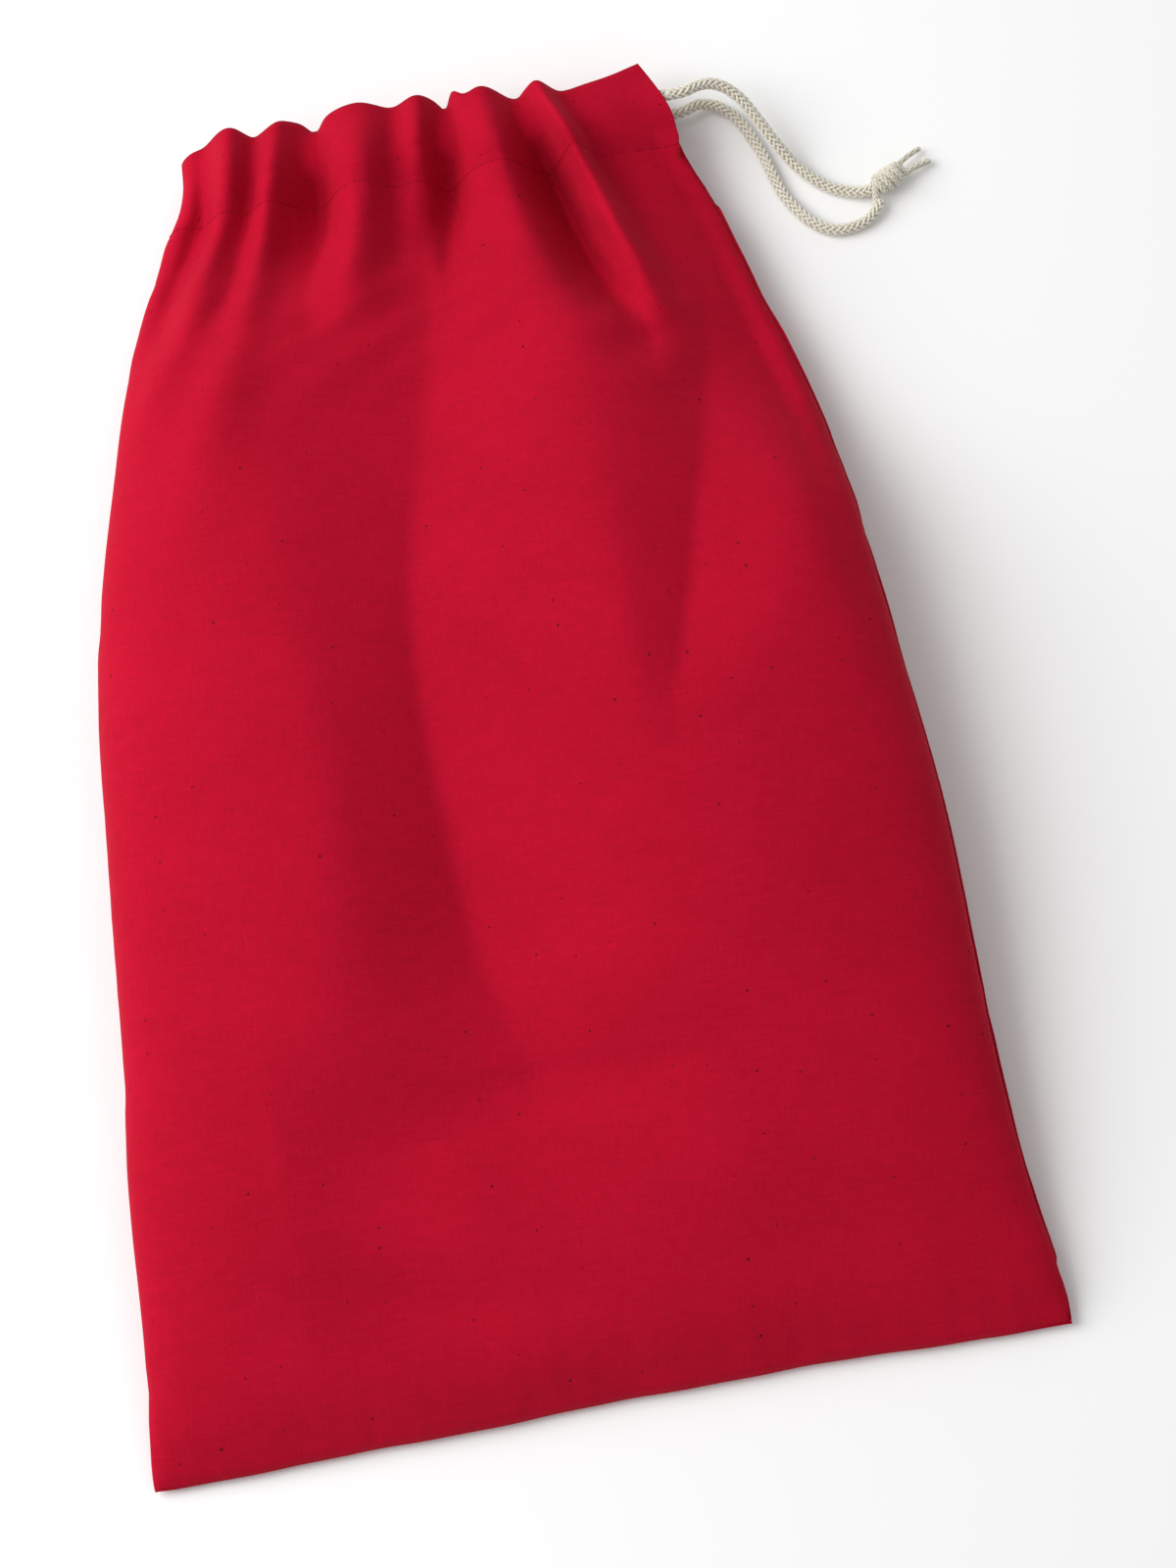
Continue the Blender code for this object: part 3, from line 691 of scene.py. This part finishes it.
def frontRow(y):
    # the front's outline across the sack at this height, and how high its seams are
    up = np.array(float(y - cloth["bottom"]))
    left, right = curveOf(cloth["left"], up), curveOf(cloth["right"], up)
    right = right - cloth["rightSeamInset"] * eased(up, 4, 40) * (1 - eased(up, 368, 408))
    x = np.linspace(left, right, cloth["samples"])
    u = (x - left) / (right - left) * 2 - 1
    seam = curveOf(cloth["seamHeight"], up)
    roundness = cloth["roundness"] + cloth["neckRoundness"] * eased(u, 0.1, 0.7) * eased(y, 50, 120)
    pillow = seam + curveOf(cloth["rise"], up) * np.maximum(1 - u * u, 0) ** roundness
    turn = cloth["turnRadius"] + tunnelOpen(y)
    capped = cloth["middleZ"] + np.sqrt(np.maximum(turn ** 2 - np.minimum(x - (left + turn), 0) ** 2, 0))
    inCasing = eased(y, 172, 200)
    base = pillow * (1 - inCasing) + capped * inCasing
    fade = eased(1 - np.abs(u), 0, 0.10)
    fade = np.where((u > 0) & (y > 190), np.maximum(fade, eased(y, 190, 200)), fade)
    ys = np.full_like(x, y)
    gathers = foldHeights(gatherFolds, x, ys)
    wide = foldHeights(broadFolds, x, ys)
    scale = 1.1 - 0.1 * inCasing - 0.4 * eased(y, 196, 217)
    gathered = eased(x, -66, -50) * (1 - np.clip((x - 58) / 38, 0, 1))
    raised = gathered * (9.0 - 2.5 * eased(y, 196, 217)) * inCasing
    z = base + fade * (gathers * scale + wide) + raised
    z = z - cloth["stitchDip"] * np.exp(-((y - stitchLevel) / 1.6) ** 2)
    if y > casingFrom:
        # the casing stays clear of its cord
        lowered = y + eased(y, 188, 219) * curveOf(cloth["mouthLine"], x) - drawcord["height"]
        room = cloth["cordRoom"] * np.clip(1 - (lowered / cloth["cordReach"]) ** 2, 0, 1)
        reach = cloth["turnRadius"] + room
        turned = np.sqrt(np.maximum(reach ** 2 - (x - drawcord["turnX"]) ** 2, 0))
        least = np.where(x > drawcord["turnX"], drawcord["frontZ"] + room, cloth["middleZ"] + turned)
        soft = 0.6
        z = np.where((x > left + 3) & (room > 0), least + soft * np.logaddexp(0, (z - least) / soft), z)
    return x, z, seam


def backFoldHeights(x, y):
    # small even gathers that die out down the back
    total = np.zeros_like(x)
    for k, start in enumerate((-56, -46, -35, -24, -13, -1, 10, 21, 33, 44, 56, 68)):
        middle = start + (220 - y) * 0.0052 * (start - 15)
        reach = 4.2 + (220 - y) * 0.07
        total += (3.4 if k % 2 else -1.5) * eased(y, 118, 214) * np.exp(-((x - middle) / reach) ** 2)
    return total


def backRow(y, seamPlace):
    # the back's outline: flat on the table, curling up to the seams
    up = float(y - cloth["bottom"])
    left, right = curveOf(cloth["left"], np.array(up)), curveOf(cloth["right"], np.array(up))
    x = np.linspace(left, right, cloth["samples"])
    u = (x - left) / (right - left) * 2 - 1
    seam = seamPlace[2]
    curl = np.clip((np.abs(u) - 0.35) / 0.65, 0, 1) ** 2.2
    low = np.clip(1 - up / 45, 0, 1) ** 2
    raised = 1 - (1 - curl) * (1 - low)
    z = cloth["backLevel"] + (seam - 1.5 - cloth["backLevel"]) * raised
    inCasing = eased(y, 172, 200)
    turn = cloth["backTurnRadius"]
    under = np.sqrt(np.maximum(turn ** 2 - (x - left - turn) ** 2, 0))
    capped = np.where(x < left + turn, cloth["middleZ"] - under + 0.2, 1.7)
    z = z * (1 - inCasing) + np.maximum(capped, 0.7) * inCasing
    z = z + backFoldHeights(x, y) * (1 - curl) * (1 - inCasing) + 0.3 * np.sin(x * 0.55) * inCasing
    inset = float(right - seamPlace[0])
    if inset > 0.3:
        x = np.concatenate([x, [right + 0.1, right - 0.4 * inset, seamPlace[0]]])
        z = np.concatenate([z, [seam - 0.6, seam + 0.3, seam]])
    return x, np.maximum(z, 0.5), seam


def spread(x, z, count):
    # columns at even lengths along the row, with two close ones at each seam
    s = np.concatenate([[0], np.cumsum(np.hypot(np.diff(x), np.diff(z)))])
    at = np.linspace(0, s[-1], count + 1)
    at[1], at[-2] = 0.55, s[-1] - 0.55
    at[2], at[-3] = 0.5 * (at[2] + 1.4), s[-1] - 0.5 * (s[-1] - at[-3] + 1.4)
    return np.interp(at, s, x), np.interp(at, s, z), at, s[-1]


def sculpt(columns, rows):
    # both panels as grids of points (row, column, xyz), and each point's place in the flat cut
    height = np.linspace(cloth["bottom"], cloth["mouth"], rows + 1)
    front, back = np.zeros((rows + 1, columns + 1, 3)), np.zeros((rows + 1, columns + 1, 3))
    cuts = np.zeros((2, rows + 1, columns + 1, 2))
    widths = np.zeros(rows + 1)
    for j, y in enumerate(height):
        x, z, seam = frontRow(y)
        front[j, :, 0], front[j, :, 2], at, widths[j] = spread(x, z, columns)
        cuts[0, j, :, 0] = at / widths[j]
        joint = front[j, -1] if y < casingFrom else np.array([x[-1], y, cloth["middleZ"]])
        x, z, seam = backRow(y, (joint[0], y, seam))
        back[j, :, 0], back[j, :, 2], at, total = spread(x, z, columns)
        cuts[1, j, :, 0] = at / total
        front[j, :, 1] = back[j, :, 1] = y
    inside = height < stitchLevel + 1
    for j in range(rows + 1):
        for i in (0, columns) if inside[j] else (0,):
            back[j, i] = front[j, i] = (front[j, i] + back[j, i]) / 2 if i == 0 else front[j, i]
    front[0, :, 2] = back[0, :, 2] = (front[0, :, 2] + back[0, :, 2]) / 2
    back[0, :, 0] = front[0, :, 0]
    # seams draw in a little, so that the two panels meet in a groove
    grip = cloth["seamGroove"]
    for panel in (front, back):
        panel[:, 0, 0] += grip
        panel[inside, -1, 0] -= grip
        panel[0, :, 1] += grip
    # the mouth's edge and the bottom seam wander
    for panel in (front, back):
        x, y = panel[:, :, 0], panel[:, :, 1]
        top = eased(y, 188, 219)
        panel[:, :, 1] += top * curveOf(cloth["mouthLine"], x)
        low = 1 - eased(y, -220, -150)
        wander = 1.0 * np.sin(x * 0.021 + 0.7) + 0.4 * np.sin(x * 0.083 + 2.0) + 0.12 * np.sin(x * 0.23)
        panel[:, :, 1] += low * wander
    return front, back, cuts, inside, widths


def pucker(front):
    # fine puckers where the seams hold the cloth
    x, y = front[:, :, 0], front[:, :, 1]
    toLeft = x - x[:, :1]
    toRight = x[:, -1:] - x
    toBottom = y - y[:1]
    wave = np.sin(y * 0.62 + 1.3 * np.sin(y * 0.11)) * np.sin(y * 0.071 + 0.8)
    cross = np.sin(x * 0.55 + 1.1 * np.sin(x * 0.09)) * np.sin(x * 0.047 + 2.1)
    amount = 0.35 * wave * (toLeft / 3 * np.exp(-toLeft / 5) + toRight / 3 * np.exp(-toRight / 5))
    amount += 0.2 * cross * toBottom / 3 * np.exp(-toBottom / 6)
    below = y - stitchLevel
    amount += 0.22 * np.sin(x * 1.25 + 0.8 * np.sin(x * 0.3)) * np.exp(-(below / 7) ** 2)
    front[:, :, 2] += amount * (toBottom > 0.5)


simulation = {
    "step": 2, "frames": 26, "scale": 0.01, "goal": 0.62, "seamGoal": 0.92, "tension": 40, "bending": 10,
    "shear": 0.4, "pressure": 1.0, "airDamping": 4, "quality": 8, "mass": 0.3, "pinStiffness": 0.6,
    "slackAcross": 1.01, "slackAlong": 1.004, "cap": 2.6, "share": 0.65,
}


def settle(front, back, inside):
    # a coarse cloth with the sculpted shape as its goal is let go, and its movement is given back
    step = simulation["step"]
    f, b = front[::step, ::step], back[::step, ::step]
    rows, columns = f.shape[0] - 1, f.shape[1] - 1
    shared = np.zeros((rows + 1, columns + 1), bool)
    shared[0] = shared[:, 0] = True
    shared[inside[::step], -1] = True
    first = np.arange(f[:, :, 0].size).reshape(rows + 1, columns + 1)
    second = first.copy()
    own = np.argwhere(~shared)
    second[own[:, 0], own[:, 1]] = first.size + np.arange(len(own))
    laid = np.vstack([f.reshape(-1, 3), b[own[:, 0], own[:, 1]]])
    across = np.linalg.norm(np.diff(f, axis=1), axis=2)
    across = (across + np.linalg.norm(np.diff(b, axis=1), axis=2)) / 2 * simulation["slackAcross"]
    along = np.linalg.norm(np.diff(f, axis=0), axis=2).mean(1) * simulation["slackAlong"]
    flat = np.zeros((rows + 1, columns + 1, 3))
    flat[:, 1:, 0] = np.cumsum(across, axis=1)
    flat[:, :, 0] -= flat[:, -1:, 0] / 2
    flat[1:, :, 1] = np.cumsum(along)[:, None]
    flat[:, :, 2] = 0.3
    flatBack = flat[own[:, 0], own[:, 1]] * (1, 1, -1)
    flat = np.vstack([flat.reshape(-1, 3), flatBack])
    a = np.stack([first[:-1, :-1], first[:-1, 1:], first[1:, 1:], first[1:, :-1]], -1).reshape(-1, 4)
    c = np.stack([second[:-1, :-1], second[1:, :-1], second[1:, 1:], second[:-1, 1:]], -1).reshape(-1, 4)
    mesh = bpy.data.meshes.new("settling")
    mesh.from_pydata((flat * simulation["scale"]).tolist(), [], np.vstack([a, c]).tolist())
    piece = linked("settling", mesh)
    piece.shape_key_add(name="Basis")
    key = piece.shape_key_add(name="laid")
    key.data.foreach_set("co", (laid * simulation["scale"]).astype(np.float32).ravel())
    key.value = 0
    key.keyframe_insert("value", frame=1)
    key.value = 1
    key.keyframe_insert("value", frame=simulation["frames"] // 2)
    y = laid[:, 1]
    hold = np.full(len(laid), simulation["goal"])
    seams = np.zeros(len(laid), bool)
    seams[first[shared]] = True
    hold[seams] = simulation["seamGoal"]
    hold = hold + (1 - hold) * eased(y, 165, 186)
    hold = np.round(hold, 2)
    group = piece.vertex_groups.new(name="held")
    for level in np.unique(hold):
        group.add(np.nonzero(hold == level)[0].tolist(), float(level), "REPLACE")
    soft = piece.modifiers.new("Cloth", "CLOTH")
    soft.settings.quality = simulation["quality"]
    soft.settings.mass = simulation["mass"]
    soft.settings.tension_stiffness = soft.settings.compression_stiffness = simulation["tension"]
    soft.settings.shear_stiffness = simulation["tension"] * simulation["shear"]
    soft.settings.bending_stiffness = simulation["bending"]
    soft.settings.vertex_group_mass = "held"
    soft.settings.pin_stiffness = simulation["pinStiffness"]
    soft.settings.effector_weights.gravity = 0
    soft.settings.use_pressure = True
    soft.settings.uniform_pressure_force = simulation["pressure"]
    soft.settings.air_damping = simulation["airDamping"]
    soft.collision_settings.use_collision = False
    soft.point_cache.frame_end = simulation["frames"] + 1
    scene.frame_start, scene.frame_end = 1, simulation["frames"] + 1
    for frameNumber in range(1, simulation["frames"] + 1):
        scene.frame_set(frameNumber)
    done = piece.evaluated_get(bpy.context.evaluated_depsgraph_get()).to_mesh()
    places = np.empty(len(laid) * 3, np.float32)
    done.vertices.foreach_get("co", places)
    moved = places.reshape(-1, 3) / simulation["scale"] - laid
    bpy.data.objects.remove(piece)
    scene.frame_set(1)
    size = np.linalg.norm(moved, axis=1, keepdims=True)
    cap = simulation["cap"]
    moved *= simulation["share"] * np.tanh(size / cap) * cap / np.maximum(size, 1e-6)
    print("cloth settled; it moved up to", round(float(size.max()), 1), "mm, half of it under",
          round(float(np.median(size)), 2))
    return moved[first], moved[second]


def spreadMovement(moved, shape):
    # the coarse movement, smoothed and read at every point of the fine grid
    for _ in range(2):
        padded = np.pad(moved, ((1, 1), (1, 1), (0, 0)), mode="edge")
        moved = (padded[1:-1, 1:-1] * 2 + padded[:-2, 1:-1] + padded[2:, 1:-1]
                 + padded[1:-1, :-2] + padded[1:-1, 2:]) / 6
    rows, columns = shape
    rowAt = np.linspace(0, moved.shape[0] - 1, rows)
    columnAt = np.linspace(0, moved.shape[1] - 1, columns)
    wide = np.stack([[np.interp(columnAt, np.arange(moved.shape[1]), row[:, k]) for row in moved]
                     for k in range(3)], -1)
    return np.stack([[np.interp(rowAt, np.arange(moved.shape[0]), wide[:, i, k]) for i in range(columns)]
                     for k in range(3)], -1).transpose(1, 0, 2)


def gridPiece(name, grid, cut, upwards, thickness, material):
    rows, columns = grid.shape[0] - 1, grid.shape[1] - 1
    index = np.arange((rows + 1) * (columns + 1)).reshape(rows + 1, columns + 1)
    faces = np.stack([index[:-1, :-1], index[:-1, 1:], index[1:, 1:], index[1:, :-1]], -1).reshape(-1, 4)
    if not upwards:
        faces = faces[:, ::-1]
    mesh = bpy.data.meshes.new(name)
    mesh.from_pydata((grid.reshape(-1, 3) * mm).tolist(), [], faces.tolist())
    flat = mesh.uv_layers.new(name="cutCloth")
    corners = np.empty(len(mesh.loops), np.int32)
    mesh.loops.foreach_get("vertex_index", corners)
    flat.data.foreach_set("uv", (cut.reshape(-1, 2) * mm)[corners].astype(np.float32).ravel())
    mesh.shade_smooth()
    mesh.materials.append(material)
    piece = linked(name, mesh)
    wall = piece.modifiers.new("wall", "SOLIDIFY")
    wall.thickness = thickness * mm
    wall.offset = -1
    return piece


def normalsOf(grid):
    across = np.gradient(grid, axis=1)
    along = np.gradient(grid, axis=0)
    normal = np.cross(across, along)
    return normal / np.maximum(np.linalg.norm(normal, axis=2, keepdims=True), 1e-9)


front, back, cuts, inside, widths = sculpt(cloth["columns"], cloth["rows"])
print("cloth laid; its front is", round(float(widths.min())), "to", round(float(widths.max())), "mm wide")
frontMove, backMove = settle(front, back, inside)
front += spreadMovement(frontMove, front.shape[:2])
back += spreadMovement(backMove, back.shape[:2])
pucker(front)
back[:, :, 2] = np.maximum(back[:, :, 2], cloth["lowest"])
cuts[:, :, :, 0] *= cloth["flatWidth"]
cuts[:, :, :, 1] = np.linspace(0, cloth["flatLength"], cloth["rows"] + 1)[None, :, None]
cuts[1, :, :, 0] += cloth["cutsApart"]


def gatherWithMouth(piece):
    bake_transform(piece)


frontPanel = gridPiece("frontPanel", front, cuts[0], True, cloth["thickness"], redCotton)
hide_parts("front_panel", "front_casing", "casing_far_end")
backPanel = gridPiece("backPanel", back, cuts[1], False, cloth["thickness"], redCotton)
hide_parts("back_panel", "back_casing")
print("panels made")

# the hem inside the mouth: the panel's own cloth, turned down and sewn
hem = {"overlap": 4.5, "thickness": 0.45, "gap": 0.75, "cordRoom": 2.7, "flatTurn": 900}


def makeHem(name, grid, cut, upwards):
    # it lies against the panel, and goes round the cord's other side in the tunnel
    below = stitchLevel - hem["overlap"]
    height = np.linspace(cloth["bottom"], cloth["mouth"], cloth["rows"] + 1)
    kept = height > below
    outer = grid[kept].copy()
    y = height[kept][:, None]
    inner = outer.copy()
    cordZ = drawcord["frontZ"] if upwards else drawcord["backZ"]
    normal = normalsOf(grid)[kept]
    way = -1 if upwards else 1
    inner += normal * hem["gap"] * way * np.clip((cloth["mouth"] - y) / 2, 0, 1)[:, :, None]
    down = cloth["mouth"] - y
    opened = eased(down, 0, 3.8) * (1 - eased(down, 18, 26.5))
    middle = (drawcord["frontZ"] + drawcord["backZ"]) / 2
    x, z = outer[:, :, 0], outer[:, :, 2]
    fromTurn = x - drawcord["turnX"]
    spared = cordZ + way * (hem["cordRoom"] + 0.3 * np.abs(z - cordZ) * eased(fromTurn, 0, 14))
    toward = np.minimum(inner[:, :, 2], spared) if upwards else np.maximum(inner[:, :, 2], spared)
    reach = np.maximum(np.hypot(fromTurn, z - middle), 0.1)
    bend = (drawcord["frontZ"] - drawcord["backZ"]) / 2 - hem["cordRoom"]
    inTurn = fromTurn < 0
    toward = np.where(inTurn, middle + bend * (z - middle) / reach, toward)
    inner[:, :, 2] = inner[:, :, 2] * (1 - opened) + toward * opened
    towardX = np.where(inTurn, drawcord["turnX"] + bend * fromTurn / reach, inner[:, :, 0])
    inner[:, :, 0] = inner[:, :, 0] * (1 - opened) + towardX * opened
    inner[-1] = outer[-1] + normal[-1] * hem["thickness"] * way * 0.9
    flat = cut[kept].copy()
    flat[:, :, 1] = hem["flatTurn"] - flat[:, :, 1]
    return gridPiece(name, inner, flat, not upwards, hem["thickness"], redCotton)


frontHem = makeHem("frontHem", front, cuts[0], True)
backHem = makeHem("backHem", back, cuts[1], False)
print("hems made")

# stitches, seam allowances and their overlocking, bartack
sewing = {
    "row": {"Pitch": 2.7 * mm, "Length": 2.3 * mm, "Radius": 0.17 * mm},
    "overlock": {"Radius": 0.16 * mm, "Sides": 5}, "overlockPitch": 2.4, "overlockLift": (0, 0, 0.3),
    "allowance": 7, "allowanceThickness": 0.8, "setBack": 2.2, "allowanceCut": 650,
    "bartack": {"Radius": 0.3 * mm, "Sides": 6}, "bartackReach": 5, "bartackWidth": 1.2,
}


def rowNear(level):
    height = np.linspace(cloth["bottom"], cloth["mouth"], cloth["rows"] + 1)
    return int(np.argmin(np.abs(height - level)))


def sewRow(name, grid, upwards, stands):
    j = rowNear(stitchLevel)
    line = grid[j] + normalsOf(grid)[j] * (0.08 if upwards else -0.08)
    line[:, 2] = np.maximum(line[:, 2], 0.3)
    piece = grow(name, [line[2:-2]], stitchTree, {**sewing["row"], "Material": redThread})
    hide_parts(stands)
    return piece


def allowancePiece(name, seamLine, inwards, stands, standsThread):
    # two overlocked edges of cloth side by side, from the seam line towards the inside
    steps = np.linspace(0, 1, 5)
    wave = 0.35 * np.sin(np.arange(len(seamLine)) * 0.21)
    grid = np.zeros((len(seamLine), len(steps), 3))
    for k, t in enumerate(steps):
        grid[:, k] = seamLine + inwards * (sewing["setBack"] + sewing["allowance"] * t)
        grid[:, k, 2] += wave * t
    across = sewing["allowance"] * steps
    along = np.concatenate([[0], np.cumsum(np.linalg.norm(np.diff(seamLine, axis=0), axis=1))])
    cut = np.stack(np.broadcast_arrays(across[None, :] + sewing["allowanceCut"], along[:, None]), -1)
    up = np.cross(grid[1, 0] - grid[0, 0], grid[0, 1] - grid[0, 0])[2] > 0
    piece = gridPiece(name, grid, cut, not up, sewing["allowanceThickness"], redCotton)
    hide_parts(stands)
    count = max(4, int(along[-1] / sewing["overlockPitch"]) * 2)
    at = np.linspace(0, along[-1], count)
    lift = np.array(sewing["overlockLift"])
    zigzag = []
    for k, s in enumerate(at):
        place = np.array([np.interp(s, along, seamLine[:, c]) for c in range(3)])
        side = sewing["setBack"] + sewing["allowance"] * (0.42 if k % 2 else 1.03)
        zigzag.append(place + inwards * side + lift)
    straight = seamLine + inwards * (sewing["setBack"] + 0.35 * sewing["allowance"]) + lift
    thread = grow(name + "Overlock", [zigzag, straight], threadTree,
                  {**sewing["overlock"], "Material": redThread})
    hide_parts(standsThread)
    return [piece, thread]


def makeSeams():
    low, high = rowNear(-194), rowNear(184)
    pieces = allowancePiece("leftAllowance", front[low:high:3, 0], np.array((1.0, 0, 0)),
                            "left_seam_allowance", "left_seam_thread")
    pieces += allowancePiece("rightAllowance", front[low:high:3, -1], np.array((-1.0, 0, 0)),
                             "right_seam_allowance", "right_seam_thread")
    pieces += allowancePiece("bottomAllowance", front[0, 16:-16:3], np.array((0, 1.0, 0)),
                             "bottom_seam_allowance", "bottom_seam_thread")
    return pieces


def makeBartack():
    # close zigzag stitches over the seam, below the cord's way out
    j = rowNear(190)
    place = front[j, -1]
    line = [place + np.array((-0.6 - 0.25 * t, 1.0 - t, 0.6 + 0.05 * t))
            for t in np.linspace(0, sewing["bartackReach"], 14)]
    rows = [[p + np.array((0, 0, 0.25 * k)) for p in line] for k in (0, 1)]
    turned = [[p + np.array((sewing["bartackWidth"] * ((m % 2) - 0.5), 0, 0)) for m, p in enumerate(row)]
              for row in rows]
    piece = grow("bartack", turned, threadTree, {**sewing["bartack"], "Material": redThread})
    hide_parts("exit_bartack")
    return piece


sewn = [sewRow("frontCasingStitches", front, True, "front_casing_stitching"),
        sewRow("backCasingStitches", back, False, "back_casing_stitching")]
sewn += makeSeams()
sewn.append(makeBartack())
for piece in [frontPanel, backPanel, frontHem, backHem] + sewn:
    gatherWithMouth(piece)
print("sewn")
